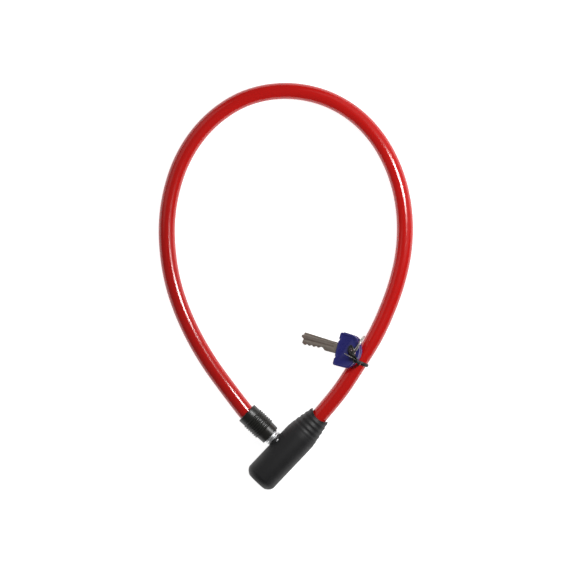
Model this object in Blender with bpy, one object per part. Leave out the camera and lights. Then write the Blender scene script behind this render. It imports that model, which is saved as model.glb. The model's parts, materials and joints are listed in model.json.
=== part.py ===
"""Keyed cable lock: a plastic-covered steel cable closed by a round keyed lock.

The lock lies flat with the loop of cable round it.  X points right, Y points
along the loop away from the lock and Z points up.  The origin is under the
middle of the whole object.  Lengths are written in millimetres times MM.

The lock has a frame of its own, whose X points into the bolt's socket, whose Y
runs along the lock towards the cable and whose Z points up.
"""
import math

import bmesh
import bpy
from mathutils import Matrix, Vector

MM = 0.001

# Where the lock lies
LOCK_CENTRE = (0.1, -119.9, 11.4)     # on the lock's axis, mm
LOCK_TURN = -43.5                      # degrees about Z
FACETS = 32                            # sides of a large round piece
SMALL_FACETS = 20                      # sides of a small round piece
GAP = 0.3                              # clearance between fitted pieces

# Moulded cover
COVER_RADIUS = 11.85
COVER_BORE = 10.2
DOME_RADIUS = 17.0
KEY_END = -31.5
KEY_OPENING = 6.6
TAPER_START = 14.0
MOUTH = 36.1
TAPER_DROP = 4.1
RIB_COUNT = 5
RIB_RISE = 0.35
FLAT_DEPTH = 11.4                      # from the axis to the flat underneath
SCOOP_RADIUS = 10.6
SCOOP_DEPTH = 3.3

# Cable
CABLE_RADIUS = 6.0
CORE_RADIUS = 2.8
SHEATH_START = 18.0                    # along the lock's axis
CABLE_REST = 6.05                      # height of the cable's middle where it lies
ROUTE_STEP = 10.0

# Bolt and its socket
BOLT_OFFSET = 0.5                      # the bolt's axis along the lock's axis
BOLT_RADIUS = 4.0
BOLT_TIP = 6.5
GROOVE_HALF = 1.65
NECK_RADIUS = 2.5
RING_RADIUS = 5.93
BOSS_RADIUS = 5.65
BOSS_FACE = -12.4
SLEEVE_FRONT = -15.8
SLEEVE_BACK = -39.9
SHEATH_END = -28.2
BARREL_BACK = -27.3

# Keyed cylinder and latch
HOUSING_RADIUS = 9.9
PLUG_RADIUS = 6.0
WAFER_PITCH = 3.0
WAFER_COUNT = 5
WAFER_FIRST = -27.0
CAM_THROW = 1.27                       # the driver's offset in X and in Z at rest
LATCH_TRAVEL = 2.0 * CAM_THROW
LATCH_HALF = 1.3

# Keys, ring and tie
RING_CENTRE = (52.3, -42.8, 20.0)
RING_HEADING = 56.2                    # degrees, the ring's plane about Z
RING_MAJOR = 7.25
RING_WIRE = 0.75
KEY_HOLE_OUT = 6.7                     # from the ring's middle to the key's hole
KEY_HEADING = 165.5                    # degrees, where the blade points
KEY_TILT = 20.0                        # degrees, tip down
KEY_STACK = 3.7                        # from one key to the next
HEAD_THICK = 3.3
BLADE_THICK = 1.8
TIE_POINT = (50.8, -58.9, 9.58)

# The cable's route between the lock and the sleeve, x, y and z in mm
ROUTE = [
    (39.7, -75.7, 10.8), (52.4, -56.5, 9.4), (64.3, -37.3, 7.7), (73.5, -17.6, 6.5),
    (80.8, 3.0, CABLE_REST), (85.4, 24.3, CABLE_REST), (86.4, 46.2, CABLE_REST),
    (83.6, 67.8, CABLE_REST), (76.8, 88.5, CABLE_REST), (66.0, 107.4, CABLE_REST),
    (51.1, 123.2, CABLE_REST), (32.5, 134.6, CABLE_REST), (11.6, 140.6, CABLE_REST),
    (-10.2, 140.9, CABLE_REST), (-31.2, 135.3, CABLE_REST), (-49.7, 124.0, CABLE_REST),
    (-64.9, 108.4, CABLE_REST), (-76.1, 89.7, CABLE_REST), (-83.1, 69.1, CABLE_REST),
    (-86.4, 47.5, CABLE_REST), (-86.0, 25.7, CABLE_REST), (-82.6, 4.1, CABLE_REST),
    (-76.1, -16.7, 6.5), (-67.1, -36.5, 7.7), (-56.0, -55.4, 9.2), (-43.3, -73.1, 10.7),
]


def clear_scene():
    """Remove every object that the file holds."""
    for item in list(bpy.data.objects):
        bpy.data.objects.remove(item, do_unlink=True)


def make_material(name, colour, roughness, metallic=0.0):
    """Return a plain Principled material."""
    made = bpy.data.materials.new(name)
    made.use_nodes = True
    shader = made.node_tree.nodes["Principled BSDF"]
    shader.inputs["Base Color"].default_value = (*colour, 1.0)
    shader.inputs["Roughness"].default_value = roughness
    shader.inputs["Metallic"].default_value = metallic
    return made


def make_frame(name, place, parent=None, turn=(0.0, 0.0, 0.0)):
    """Return an empty at a place in mm, turned by degrees about X, Y and Z."""
    empty = bpy.data.objects.new(name, None)
    bpy.context.scene.collection.objects.link(empty)
    empty.location = Vector(place) * MM
    empty.rotation_euler = [math.radians(value) for value in turn]
    empty.parent = parent
    return empty


def finish(name, shape, material, parent):
    """Turn a bmesh drawn in mm into a named object and return it."""
    bmesh.ops.scale(shape, vec=(MM, MM, MM), verts=shape.verts)
    bmesh.ops.recalc_face_normals(shape, faces=shape.faces)
    mesh = bpy.data.meshes.new(name)
    shape.to_mesh(mesh)
    shape.free()
    mesh.shade_smooth()
    mesh.set_sharp_from_angle(angle=math.radians(35.0))
    item = bpy.data.objects.new(name, mesh)
    bpy.context.scene.collection.objects.link(item)
    item.parent = parent
    if material:
        mesh.materials.append(material)
    else:
        item.hide_render = True
        item.display_type = 'WIRE'
    return item


def cut(target, tool, operation='DIFFERENCE'):
    """Cut a tool out of a target, or join it on."""
    step = target.modifiers.new(tool.name, 'BOOLEAN')
    step.operation = operation
    step.solver = 'EXACT'
    step.object = tool


def turned_shape(profile, axis, facets):
    """Return a bmesh of a profile of (along, radius) turned about X or Y."""
    shape = bmesh.new()
    verts = []
    for along, radius in profile:
        place = (along, 0.0, radius) if axis == 'X' else (0.0, along, radius)
        verts.append(shape.verts.new(place))
    closed = profile[0][1] > 0.0
    edges = [shape.edges.new(pair) for pair in zip(verts, verts[1:])]
    if closed:
        edges.append(shape.edges.new((verts[-1], verts[0])))
    direction = (1.0, 0.0, 0.0) if axis == 'X' else (0.0, 1.0, 0.0)
    bmesh.ops.spin(shape, geom=verts + edges, cent=(0, 0, 0), axis=direction,
                   angle=2.0 * math.pi, steps=facets, use_merge=True)
    bmesh.ops.remove_doubles(shape, verts=shape.verts, dist=1e-4)
    return shape


def turned(name, profile, material, parent, axis='Y', facets=FACETS, offset=(0, 0, 0)):
    """Make a turned piece; a profile that starts at radius 0 is solid."""
    shape = turned_shape(profile, axis, facets)
    bmesh.ops.translate(shape, vec=offset, verts=shape.verts)
    return finish(name, shape, material, parent)


def rod(start, end, radius):
    """Return the profile of a plain solid cylinder."""
    return [(start, 0.0), (start, radius), (end, radius), (end, 0.0)]


def tube(start, end, inner, outer):
    """Return the profile of a plain tube."""
    return [(start, inner), (start, outer), (end, outer), (end, inner)]


def box(name, low, high, material, parent):
    """Make a plain block between two corners."""
    shape = bmesh.new()
    middle = [(a + b) / 2.0 for a, b in zip(low, high)]
    size = [b - a for a, b in zip(low, high)]
    place = Matrix.Translation(middle) @ Matrix.Diagonal((*size, 1.0))
    bmesh.ops.create_cube(shape, size=1.0, matrix=place)
    return finish(name, shape, material, parent)


def plate(name, outline, low, high, material, parent, axis='Z'):
    """Extrude an outline between two heights along Z, or along X or Y."""
    shape = bmesh.new()
    order = {
        'X': lambda a, b, c: (c, a, b),
        'Y': lambda a, b, c: (a, c, b),
        'Z': lambda a, b, c: (a, b, c),
    }[axis]
    verts = [shape.verts.new(order(a, b, low)) for a, b in outline]
    face = shape.faces.new(verts)
    grown = bmesh.ops.extrude_face_region(shape, geom=[face])
    moved = [item for item in grown["geom"] if isinstance(item, bmesh.types.BMVert)]
    bmesh.ops.translate(shape, vec=order(0.0, 0.0, high - low), verts=moved)
    return finish(name, shape, material, parent)


def arc(centre, radius, start, end, count):
    """Return points on an arc, angles in degrees."""
    points = []
    for index in range(count + 1):
        angle = math.radians(start + (end - start) * index / count)
        points.append((centre[0] + radius * math.cos(angle),
                       centre[1] + radius * math.sin(angle)))
    return points


def smooth_path(points, step):
    """Return evenly spaced points on a Catmull-Rom curve through the points."""
    ends = [points[0] * 2.0 - points[1]] + points + [points[-1] * 2.0 - points[-2]]
    fine = []
    for before, start, end, after in zip(ends, ends[1:], ends[2:], ends[3:]):
        for part in range(24):
            t = part / 24.0
            fine.append(0.5 * (2.0 * start + (end - before) * t
                               + (2.0 * before - 5.0 * start + 4.0 * end - after) * t * t
                               + (3.0 * start - before - 3.0 * end + after) * t ** 3))
    fine.append(points[-1])
    travelled = [0.0]
    for start, end in zip(fine, fine[1:]):
        travelled.append(travelled[-1] + (end - start).length)
    count = max(2, round(travelled[-1] / step))
    even = []
    index = 0
    for number in range(count + 1):
        goal = travelled[-1] * number / count
        while index < len(fine) - 2 and travelled[index + 1] < goal:
            index += 1
        share = (goal - travelled[index]) / (travelled[index + 1] - travelled[index])
        even.append(fine[index].lerp(fine[index + 1], min(1.0, share)))
    return even


def swept(name, points, radius, material, parent, sides=3, cyclic=False):
    """Make a round tube along points in mm, with filled ends."""
    curve = bpy.data.curves.new(name, 'CURVE')
    curve.dimensions = '3D'
    curve.bevel_depth = radius * MM
    curve.bevel_resolution = sides
    curve.use_fill_caps = not cyclic
    spline = curve.splines.new('POLY')
    spline.points.add(len(points) - 1)
    for target, point in zip(spline.points, points):
        target.co = (*(Vector(point) * MM), 1.0)
    spline.use_cyclic_u = cyclic
    curve.materials.append(material)
    item = bpy.data.objects.new(name, curve)
    bpy.context.scene.collection.objects.link(item)
    item.parent = parent
    return item


def helix(radius, low, high, turns, per_turn=10):
    """Return the points of a coil spring about Z."""
    points = []
    for index in range(round(turns * per_turn) + 1):
        share = index / (turns * per_turn)
        angle = 2.0 * math.pi * turns * share
        points.append((radius * math.cos(angle), radius * math.sin(angle),
                       low + (high - low) * share))
    return points


def taper_radius(along):
    """Return the cover's radius on its ribbed taper."""
    share = (along - TAPER_START) / (MOUTH - TAPER_START)
    return COVER_RADIUS - TAPER_DROP * share ** 1.3


def cover_profile():
    """Return the cover's closed profile: dome, barrel, ribbed taper and bore."""
    def dome(radius):
        return KEY_END + DOME_RADIUS - math.sqrt(DOME_RADIUS ** 2 - radius ** 2)

    points = [(dome(radius), radius) for radius in (KEY_OPENING, 8.2, 9.4, 10.4, 11.0)]
    points += [(-27.0, 11.5), (-26.2, COVER_RADIUS), (TAPER_START, COVER_RADIUS)]
    first_rib = TAPER_START + 3.5
    pitch = (MOUTH - first_rib) / RIB_COUNT
    for rib in range(RIB_COUNT):
        start = first_rib + rib * pitch
        points.append((start, taper_radius(start) - RIB_RISE))
        points.append((start + pitch * 0.3, taper_radius(start + pitch * 0.3) + RIB_RISE))
        points.append((start + pitch * 0.7, taper_radius(start + pitch * 0.7) + RIB_RISE))
    points += [(MOUTH - 0.3, taper_radius(MOUTH)), (MOUTH, taper_radius(MOUTH) - 0.4)]
    bore = CABLE_RADIUS + 0.4
    points += [(MOUTH, bore), (SHEATH_START, bore), (16.2, 8.8), (14.8, COVER_BORE)]
    points += [(-28.3, COVER_BORE), (-28.3, KEY_OPENING)]
    return points


def make_cover(lock, plastic):
    """The moulded cover with its socket boss, mouth and flat underside."""
    cover = turned("lock_cover", cover_profile(), plastic, lock)
    along = (0.0, BOLT_OFFSET, 0.0)
    boss = turned("boss_form", rod(BOSS_FACE, -9.0, BOSS_RADIUS), None, lock,
                  axis='X', facets=24, offset=along)
    cut(cover, boss, 'UNION')
    socket = turned("socket_form", rod(-16.0, -5.0, BOLT_RADIUS + 0.6), None, lock,
                    axis='X', facets=24, offset=along)
    cut(cover, socket)
    scoop_middle = MOUTH - SCOOP_DEPTH + SCOOP_RADIUS
    scoop = plate("scoop_form", arc((0.0, scoop_middle), SCOOP_RADIUS, 0, 345, 23),
                  -14.0, 14.0, None, lock)
    cut(cover, scoop)
    flat = box("flat_form", (-9, -40, -20), (9, 40, -FLAT_DEPTH), None, lock)
    cut(cover, flat)
    pin_frame = make_frame("pin_axis", (0, 1.45, 0), lock, (0, -60.5, 0))
    hole = turned_shape(rod(11.25, 15.0, 1.2), 'X', 12)
    bmesh.ops.rotate(hole, matrix=Matrix.Rotation(math.radians(-90), 3, 'Y'), verts=hole.verts)
    cut(cover, finish("pin_hole_form", hole, None, pin_frame))
    return pin_frame


def make_drive_pin(pin_frame, steel):
    """The short steel pin whose end shows beside the socket."""
    shape = turned_shape([(11.5, 0.0), (11.5, 0.95), (12.0, 0.95), (12.25, 0.5), (12.3, 0.0)],
                         'X', 12)
    bmesh.ops.rotate(shape, matrix=Matrix.Rotation(math.radians(-90), 3, 'Y'),
                     verts=shape.verts)
    finish("drive_pin", shape, steel, pin_frame)


def make_housing(lock, zinc):
    """The cast housing with its cylinder bore, latch chamber and cable bore."""
    inner = PLUG_RADIUS + GAP
    profile = [(-28.0, inner), (-28.0, HOUSING_RADIUS), (14.5, HOUSING_RADIUS), (14.5, 5.5),
               (7.3, 5.5), (7.3, 3.4), (-7.2, 3.4), (-7.2, inner)]
    housing = turned("lock_housing", profile, zinc, lock)
    chamber = box("chamber_form", (-1.7, -7.5, -12), (3.8, 6.6, 8.8), None, lock)
    cut(housing, chamber)
    along = (0.0, BOLT_OFFSET, 0.0)
    bore = turned("bolt_bore_form", rod(-12.0, 7.1, BOLT_RADIUS + GAP), None, lock,
                  axis='X', facets=SMALL_FACETS, offset=along)
    cut(housing, bore)
    seat = turned("bush_seat_form", rod(-12.0, -5.2, BOSS_RADIUS + GAP), None, lock,
                  axis='X', facets=24, offset=along)
    cut(housing, seat)
    screw = turned("screw_bore_form", rod(3.0, 12.0, 1.7), None, lock,
                   axis='X', facets=12, offset=(0, 11.8, 0))
    cut(housing, screw)
    pin = plate("pin_bore_form", arc((5.9, -11.5), 1.15, 0, 330, 11), -12, 12, None, lock)
    cut(housing, pin)


def make_cable_anchor(lock, steel, rope):
    """The crimp that holds the rope in the lock, its screw and the bare rope."""
    turned("cable_crimp", [(7.6, 3.1), (7.6, 5.2), (9.1, 5.2), (9.4, 4.3), (14.2, 4.3),
                           (14.2, 3.1)], steel, lock, facets=SMALL_FACETS)
    turned("crimp_screw", rod(4.6, 9.6, 1.4), steel, lock, axis='X', facets=12,
           offset=(0, 11.8, 0))
    turned("rope_end_lock", rod(7.9, SHEATH_START - GAP, CORE_RADIUS), rope, lock, facets=12)


def make_socket_bush(lock, steel):
    """The hardened bush that guides the bolt behind the cover's boss."""
    turned("socket_bush", tube(-7.8, -5.5, BOLT_RADIUS + GAP, BOSS_RADIUS), steel, lock,
           axis='X', facets=24, offset=(0, BOLT_OFFSET, 0))


def make_cylinder(cylinder, brass, steel):
    """The keyed plug, the cam on its end and its retaining pin's groove."""
    profile = [(-31.2, 0.0), (-30.9, 4.4), (-30.2, PLUG_RADIUS), (-12.6, PLUG_RADIUS),
               (-12.6, 4.8), (-10.4, 4.8), (-10.4, PLUG_RADIUS), (-9.4, PLUG_RADIUS),
               (-9.4, 0.0)]
    plug = turned("cylinder_plug", profile, brass, cylinder, facets=24)
    keyway = box("keyway_form", (-1.25, -33, -3.8), (1.25, -13.6, 3.8), None, cylinder)
    cut(plug, keyway)
    for number in range(WAFER_COUNT):
        middle = WAFER_FIRST + number * WAFER_PITCH
        label = number + 1
        slot = box(f"slot_form_{label}", (-3.1, middle - 0.8, -7), (3.0, middle + 0.8, 7),
                   None, cylinder)
        cut(plug, slot)
        pocket = box(f"pocket_form_{label}", (2.0, middle - 0.8, -3.4), (4.6, middle + 0.8, 7),
                     None, cylinder)
        cut(plug, pocket)
    cam = turned("cam_driver", [(-9.1, 0.0), (-9.1, 5.5), (-7.7, 5.5), (-7.7, 0.0)], steel,
                 cylinder, facets=SMALL_FACETS)
    stud = turned("cam_stud_form", rod(-8.4, -5.5, 0.9), None, cylinder, facets=12,
                  offset=(CAM_THROW, 0, -CAM_THROW))
    cut(cam, stud, 'UNION')


def make_wafers(cylinder, brass, steel):
    """The wafers that the key lifts level, each with its small spring."""
    for number in range(WAFER_COUNT):
        middle = WAFER_FIRST + number * WAFER_PITCH
        label = number + 1
        outline = [(-2.8, -4.9), (2.7, -4.9), (2.7, 0.1), (4.3, 0.1), (4.3, 1.1),
                   (2.7, 1.1), (2.7, 4.9), (-2.8, 4.9)]
        wafer = plate(f"wafer_{label}", outline, middle - 0.5, middle + 0.5, brass,
                      cylinder, axis='Y')
        rise = 0.35 * ((number * 2) % 3 - 1)
        window = box(f"window_form_{label}", (-1.5, middle - 2, rise - 3.7),
                     (1.5, middle + 2, rise + 3.5), None, cylinder)
        cut(wafer, window)
        seat = make_frame(f"wafer_spring_{label}_seat", (3.75, middle, 0), cylinder)
        swept(f"wafer_spring_{label}", helix(0.4, -3.0, -0.35, 4.0, 8), 0.12, steel, seat,
              sides=1)


def make_latch(latch, steel):
    """The latch plate: a keyhole round the bolt and a lug for the cam's stud."""
    hole = BOLT_RADIUS + GAP
    outline = [(-5.2, -6.1), (6.0, -6.1), (6.0, 5.6), (-5.2, 5.6)]
    blank = plate("latch", outline, -LATCH_HALF, LATCH_HALF, steel, latch, axis='X')
    lug = box("lug_form", (-LATCH_HALF, -6.9, -3.7), (3.4, -4.2, 1.2), None, latch)
    cut(blank, lug, 'UNION')
    slot_half = NECK_RADIUS + GAP
    round_hole = plate("keyhole_form", arc((BOLT_OFFSET, 0), hole, 0, 342, 19), -3, 3, None,
                       latch, axis='X')
    cut(blank, round_hole)
    low = arc((BOLT_OFFSET, -LATCH_TRAVEL), slot_half, 180, 360, 10)
    low += [(BOLT_OFFSET + slot_half, 0.0), (BOLT_OFFSET - slot_half, 0.0)]
    cut(blank, plate("neck_slot_form", low, -3, 3, None, latch, axis='X'))
    notch = box("notch_form", (-4, -8, -CAM_THROW - 1.15), (6, -5.2, -CAM_THROW + 1.15),
                None, latch)
    cut(blank, notch)


def make_latch_seat(lock, steel, zinc):
    """The latch's return spring and the cap that closes the chamber."""
    seat = make_frame("latch_spring_seat", (0, BOLT_OFFSET, 0), lock)
    swept("latch_spring", helix(1.15, -8.35, -6.45, 3.5), 0.17, steel, seat, sides=1)
    box("chamber_cap", (-1.4, -7.2, -9.35), (3.5, 6.3, -8.7), zinc, lock)
    plate("cylinder_pin", arc((5.9, -11.5), 0.8, 0, 330, 11), -7.6, 7.6, steel, lock)


def make_bolt(bolt, steel, rope):
    """The turned bolt with its neck, collar and crimped barrel."""
    profile = [(BOLT_TIP, 0.0), (BOLT_TIP, 2.2), (4.7, BOLT_RADIUS), (GROOVE_HALF, BOLT_RADIUS),
               (GROOVE_HALF, NECK_RADIUS), (-GROOVE_HALF, NECK_RADIUS),
               (-GROOVE_HALF, BOLT_RADIUS), (-14.2, BOLT_RADIUS), (-14.2, RING_RADIUS),
               (-15.5, RING_RADIUS), (-15.5, 5.4), (BARREL_BACK, 5.4), (BARREL_BACK, 3.1),
               (-17.0, 3.1), (-17.0, 0.0)]
    turned("bolt_pin", profile, steel, bolt, axis='X', facets=24)
    turned("bolt_washer", tube(-13.9, -12.7, BOLT_RADIUS + GAP, RING_RADIUS), steel, bolt,
           axis='X', facets=24)
    turned("rope_end_bolt", rod(SHEATH_END + GAP, -17.3, CORE_RADIUS), rope, bolt, axis='X',
           facets=12)


def make_sleeve(bolt, plastic):
    """The ribbed sleeve over the bolt's barrel and the end of the sheath."""
    points = [(SLEEVE_BACK, CABLE_RADIUS + GAP), (SLEEVE_BACK, 7.8), (SLEEVE_BACK + 0.3, 8.05),
              (-34.6, 8.05)]
    ribs = 7
    pitch = (34.6 - 22.2) / ribs
    for rib in range(ribs):
        start = -34.6 + rib * pitch
        points.append((start + 0.4 * pitch, 8.7))
        points.append((start + 0.6 * pitch, 8.7))
        points.append((start + pitch, 8.15))
    points += [(-22.0, 7.75), (-16.2, 7.5), (SLEEVE_FRONT, 7.2), (SLEEVE_FRONT, 5.7),
               (-27.5, 5.7), (-27.5, CABLE_RADIUS + GAP)]
    turned("bolt_sleeve", points, plastic, bolt, axis='X', facets=28)


def lock_point(across, along):
    """Return a point at axis height from the lock's own X and Y, in world mm."""
    turn = math.radians(LOCK_TURN)
    return Vector((LOCK_CENTRE[0] + across * math.cos(turn) - along * math.sin(turn),
                   LOCK_CENTRE[1] + across * math.sin(turn) + along * math.cos(turn),
                   LOCK_CENTRE[2]))


def cable_route():
    """Return the route's points, from the lock's mouth round to the sleeve."""
    start = [lock_point(0.0, along) for along in (SHEATH_START, 27.0, MOUTH)]
    end = [lock_point(across, BOLT_OFFSET) for across in (-41.0, -34.5, SHEATH_END)]
    return start + [Vector(point) for point in ROUTE] + end


def make_cable(sheath):
    """The plastic sheath of the cable, as one plain tube along its route."""
    swept("cable_sheath", smooth_path(cable_route(), ROUTE_STEP), CABLE_RADIUS, sheath, None)


def head_outline():
    """Return half a key head's rounded outline, mirrored to the whole."""
    half = [(12.0, 10.9), (11.4, 12.0), (10.4, 12.2), (3.4, 12.2)]
    half += arc((3.4, 5.6), 6.6, 90, 150, 5)[1:]
    half += [(-4.4, 4.4), (-5.5, 1.6)]
    return half + [(x, -y) for x, y in reversed(half)]


def blade_outline():
    """Return the blade's outline: stem, cuts on one edge and a notched tip."""
    return [(5.8, -3.2), (12.6, -3.2), (12.6, -3.5), (39.8, -3.5), (40.6, -2.9), (40.6, -1.9),
            (38.6, -0.3), (38.8, 1.0), (38.9, 2.5), (36.6, 3.7), (34.9, 2.5), (33.2, 3.5),
            (31.4, 2.3), (29.6, 3.4), (27.9, 2.2), (26.2, 3.1), (24.2, 1.9), (22.6, 2.2),
            (20.6, 3.8), (12.6, 3.8), (12.6, 3.2), (5.8, 3.2)]


def make_key(number, frame, plastic, steel):
    """One key: the cut blade and the moulded head round its stem."""
    half = HEAD_THICK / 2.0
    head = plate(f"key_{number}_head", head_outline(), -half, half, plastic, frame)
    eye = plate(f"key_eye_form_{number}", arc((0, 0), 3.0, 0, 337.5, 15), -4, 4, None, frame)
    cut(head, eye)
    pocket_half = BLADE_THICK / 2.0 + GAP
    pocket = box(f"key_pocket_form_{number}", (5.5, -3.5, -pocket_half),
                 (16, 3.5, pocket_half), None, frame)
    cut(head, pocket)
    blade_half = BLADE_THICK / 2.0
    plate(f"key_{number}_blade", blade_outline(), -blade_half, blade_half, steel, frame)


def make_keys(plastic, steel):
    """Both keys, stacked on the ring with their tips down."""
    heading = math.radians(RING_HEADING)
    hole = (RING_CENTRE[0] - KEY_HOLE_OUT * math.cos(heading),
            RING_CENTRE[1] - KEY_HOLE_OUT * math.sin(heading))
    for number, turn in ((1, 0.0), (2, -2.5)):
        drop = KEY_STACK * (0.5 - (number - 1))
        tilt = math.radians(KEY_TILT)
        flat = math.radians(KEY_HEADING)
        place = (hole[0] + drop * math.sin(tilt) * math.cos(flat),
                 hole[1] + drop * math.sin(tilt) * math.sin(flat),
                 RING_CENTRE[2] + drop * math.cos(tilt))
        level = make_frame(f"key_{number}_seat", place, None, (0, KEY_TILT, KEY_HEADING))
        pivot = make_frame(f"key_{number}_pivot", (0, 0, 0), level, (0, 0, turn))
        make_key(number, pivot, plastic, steel)


def make_key_ring(nickel):
    """The ring that carries the keys, standing on edge beside the cable."""
    frame = make_frame("key_ring_pivot", RING_CENTRE, None, (90, 0, RING_HEADING))
    points = [(RING_MAJOR * math.cos(step * math.pi / 16), RING_MAJOR * math.sin(step * math.pi / 16),
               0.0) for step in range(32)]
    swept("key_ring", points, RING_WIRE, nickel, frame, sides=2, cyclic=True)


def make_tie(rubber):
    """The tie round the cable and its twisted end up to the keys' eyes."""
    frame = make_frame("tie_frame", TIE_POINT, None, (90, 0, 155))
    points = [(7.0 * math.cos(step * math.pi / 12), 7.0 * math.sin(step * math.pi / 12), 0.0)
              for step in range(24)]
    swept("tie_band", points, 0.6, rubber, frame, sides=2, cyclic=True)


def build():
    """Build the whole lock."""
    clear_scene()
    black = make_material("black_plastic", (0.015, 0.015, 0.016), 0.5)
    red = make_material("red_sheath", (0.55, 0.015, 0.012), 0.25)
    blue = make_material("blue_plastic", (0.02, 0.02, 0.12), 0.35)
    steel = make_material("bright_steel", (0.6, 0.6, 0.62), 0.25, 1.0)
    zinc = make_material("cast_zinc", (0.5, 0.5, 0.52), 0.4, 1.0)
    brass = make_material("brass", (0.7, 0.5, 0.2), 0.35, 1.0)
    rope = make_material("steel_rope", (0.4, 0.4, 0.42), 0.45, 1.0)
    tie_plastic = make_material("tie_plastic", (0.01, 0.01, 0.01), 0.45)

    lock = make_frame("lock_frame", LOCK_CENTRE, None, (0, 0, LOCK_TURN))
    cylinder = make_frame("cylinder_axis", (0, 0, 0), lock)
    latch = make_frame("latch_axis", (0, 0, 0), lock)
    bolt = make_frame("bolt_axis", (0, BOLT_OFFSET, 0), lock)

    pin_frame = make_cover(lock, black)
    make_drive_pin(pin_frame, steel)
    make_housing(lock, zinc)
    make_cable_anchor(lock, steel, rope)
    make_socket_bush(lock, steel)
    make_cylinder(cylinder, brass, steel)
    make_wafers(cylinder, brass, steel)
    make_latch(latch, steel)
    make_latch_seat(lock, steel, zinc)
    make_bolt(bolt, steel, rope)
    make_sleeve(bolt, black)
    make_cable(red)
    make_keys(blue, steel)
    make_key_ring(steel)
    make_tie(tie_plastic)


build()
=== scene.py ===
"""Looks of the keyed cable lock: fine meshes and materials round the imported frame.

Lengths inside the classes are millimetres; meshes are scaled to metres when they
are placed.  The lock's own frame has X into the bolt's socket, Y along the lock
towards the cable and Z up.
"""

import json
import logging
import math
from dataclasses import dataclass, field
from enum import Enum

import bmesh
import bpy
from mathutils import Matrix, Vector


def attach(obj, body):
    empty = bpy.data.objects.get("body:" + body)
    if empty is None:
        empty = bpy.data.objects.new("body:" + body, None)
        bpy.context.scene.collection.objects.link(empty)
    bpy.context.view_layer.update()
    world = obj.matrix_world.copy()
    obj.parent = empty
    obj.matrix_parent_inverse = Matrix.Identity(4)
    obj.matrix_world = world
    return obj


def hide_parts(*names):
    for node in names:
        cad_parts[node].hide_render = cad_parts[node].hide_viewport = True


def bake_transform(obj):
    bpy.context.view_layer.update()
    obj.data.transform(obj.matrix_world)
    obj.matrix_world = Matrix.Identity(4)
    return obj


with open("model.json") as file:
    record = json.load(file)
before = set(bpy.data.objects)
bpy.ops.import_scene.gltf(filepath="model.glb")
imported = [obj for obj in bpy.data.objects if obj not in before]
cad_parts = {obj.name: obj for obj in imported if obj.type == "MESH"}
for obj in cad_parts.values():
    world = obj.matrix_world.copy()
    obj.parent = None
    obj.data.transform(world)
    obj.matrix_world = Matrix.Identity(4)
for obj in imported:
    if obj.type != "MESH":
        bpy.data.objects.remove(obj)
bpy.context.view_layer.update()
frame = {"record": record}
LOG = logging.getLogger("cable_lock")
MM = 0.001
# A wave texture's bright band, and its dark one, are each this wide at scale 1
HALF_WAVE = 0.16
# The way round the sheath in mm, which sets the scale across the "along" map
SHEATH_GIRTH = 37.7
Point = tuple[float, float]


class Axis(Enum):
    """The axis that a turned piece is turned about."""

    BOLT = "X"
    LOCK = "Y"


class Body(Enum):
    """The bodies that the fine pieces ride on."""

    LOCK = "lock"
    CYLINDER = "cylinder"
    BOLT = "bolt"
    RING = "ring"
    KEY_1 = "key_1"
    KEY_2 = "key_2"


# ---------------------------------------------------------------- materials


def linear(code: str) -> tuple[float, float, float, float]:
    """Turn an sRGB hex colour to linear values.

    Args:
        code: Six hex digits, such as "b01510".

    Returns:
        Red, green, blue and an alpha of 1.
    """
    values = []
    for start in (0, 2, 4):
        part = int(code[start:start + 2], 16) / 255.0
        values.append(part / 12.92 if part <= 0.04045 else ((part + 0.055) / 1.055) ** 2.4)
    return (*values, 1.0)


def add_node(tree: bpy.types.NodeTree, kind: str, settings: dict | None = None,
             links: dict | None = None) -> bpy.types.Node:
    """Add a node, set it up and link its inputs.

    Args:
        tree: The tree that takes the node.
        kind: The node's type name.
        settings: Values by property name, or by input name or number.
        links: Output sockets by input name or number.

    Returns:
        The new node.
    """
    node = tree.nodes.new(kind)
    for name, value in (settings or {}).items():
        if isinstance(name, str) and hasattr(node, name):
            setattr(node, name, value)
        else:
            node.inputs[name].default_value = value
    for name, socket in (links or {}).items():
        tree.links.new(socket, node.inputs[name])
    return node


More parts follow.
